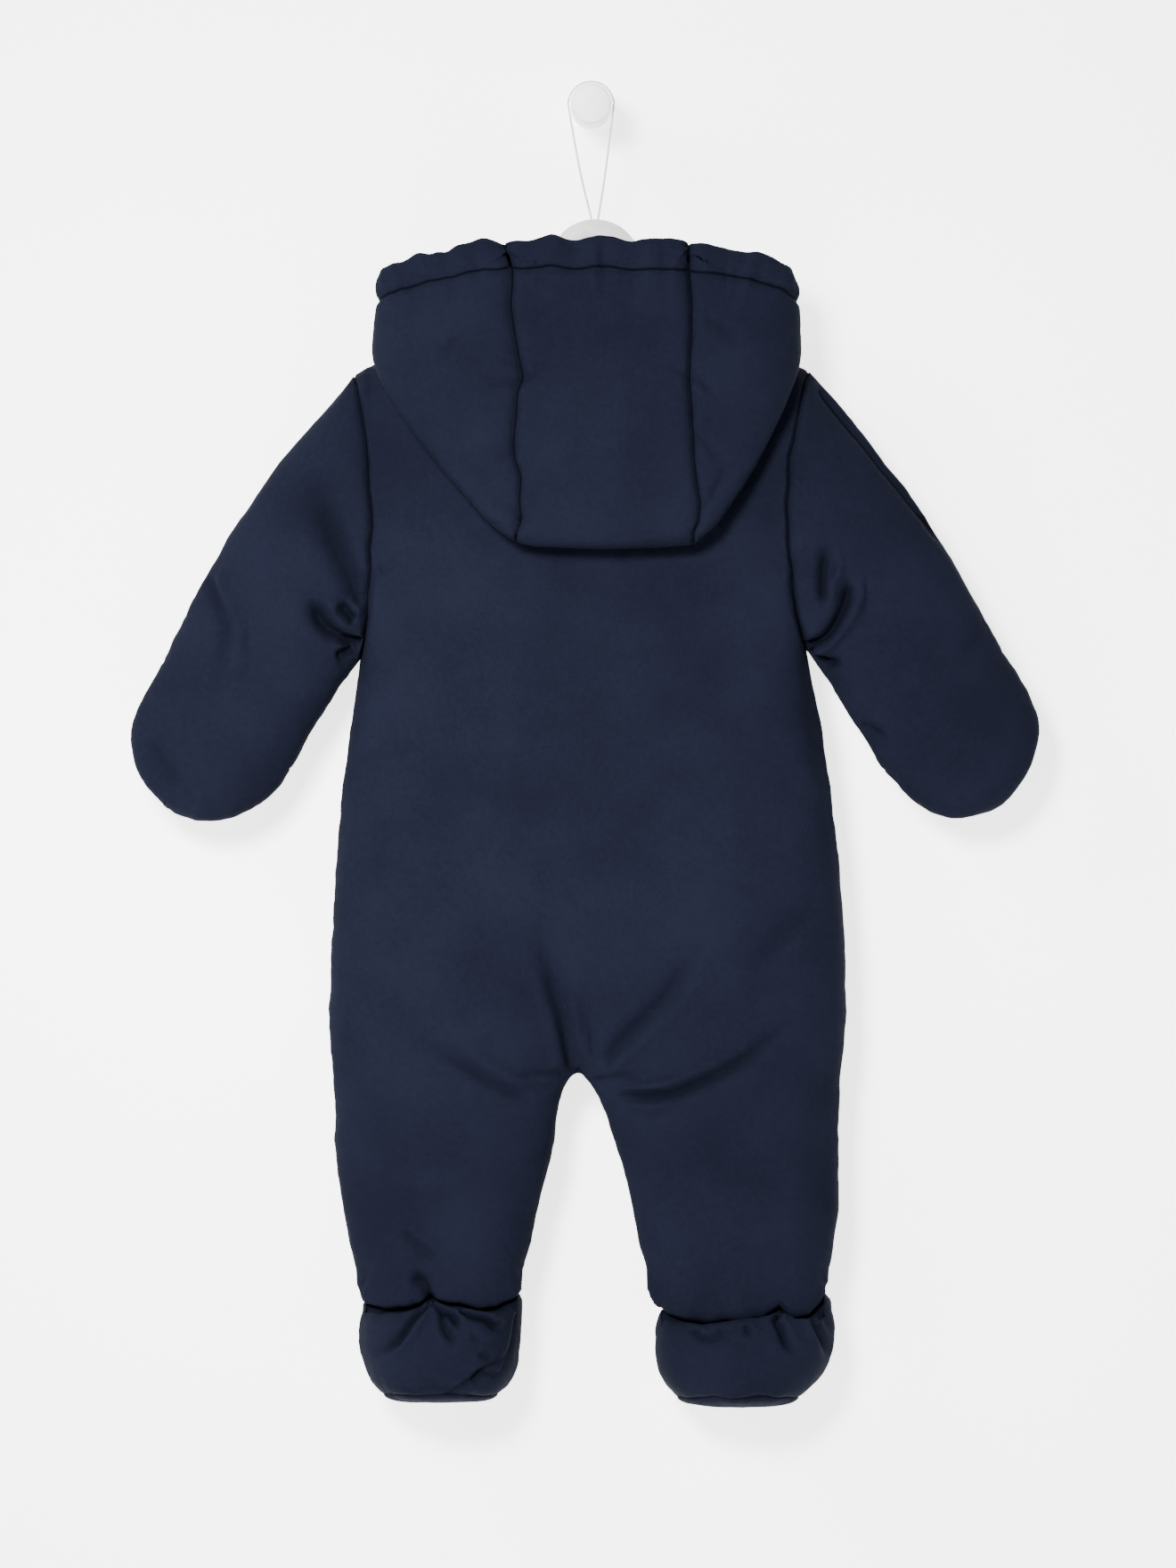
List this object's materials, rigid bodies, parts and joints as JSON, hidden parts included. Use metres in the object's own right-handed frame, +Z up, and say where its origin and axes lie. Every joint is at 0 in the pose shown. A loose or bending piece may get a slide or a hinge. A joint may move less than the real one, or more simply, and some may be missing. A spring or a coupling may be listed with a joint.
{
  "type": "baby snowsuit on a hanger and wall peg",
  "caption": "Padded one-piece baby snowsuit with hood, closed mitts and feet and a front zip, hung back outwards on a small board hanger and a round wall peg.",
  "frame": {"origin": "middle of the peg's flat end, which meets the wall", "axes": "+Y out of the peg's flat end into the wall, +Z up, +X to the right of someone who faces the wall; the suit's back faces -Y and its left side is at -X"},
  "size_m": [0.5324, 0.1141, 0.7732],
  "materials": {
    "padded_cloth": "matt navy padded microfibre",
    "zip_tape": "navy woven tape",
    "zip_plastic": "moulded navy teeth, slider and pull",
    "peg_paint": "painted white",
    "hanger_board": "thin board painted white",
    "cord": "thin twisted cotton"
  },
  "bodies": {
    "snowsuit": {"back": "padded_cloth", "front_left": "padded_cloth", "front_right": "padded_cloth", "sleeve_left_back": "padded_cloth", "sleeve_left_front": "padded_cloth", "mitt_left_palm": "padded_cloth", "sleeve_right_back": "padded_cloth", "sleeve_right_front": "padded_cloth", "mitt_right_palm": "padded_cloth", "foot_left_heel": "padded_cloth", "foot_left_toe": "padded_cloth", "foot_left_sole": "padded_cloth", "foot_right_heel": "padded_cloth", "foot_right_toe": "padded_cloth", "foot_right_sole": "padded_cloth", "hood_centre": "padded_cloth", "hood_left": "padded_cloth", "hood_right": "padded_cloth", "zip_tape": "zip_tape", "zip_chain": "zip_plastic", "zip_slider": "zip_plastic", "peg": "peg_paint", "hanger": "hanger_board", "hanger_cord": "cord"},
    "pull": {"zip_pull": "zip_plastic"}
  },
  "joints": [
    {"name": "zip_pull_swing", "type": "hinge", "parent": "snowsuit", "child": "pull", "pos_m": [-0.0022, -0.02554, -0.173], "axis": [1, 0, 0], "range_deg": [-8, 150]}
  ]
}
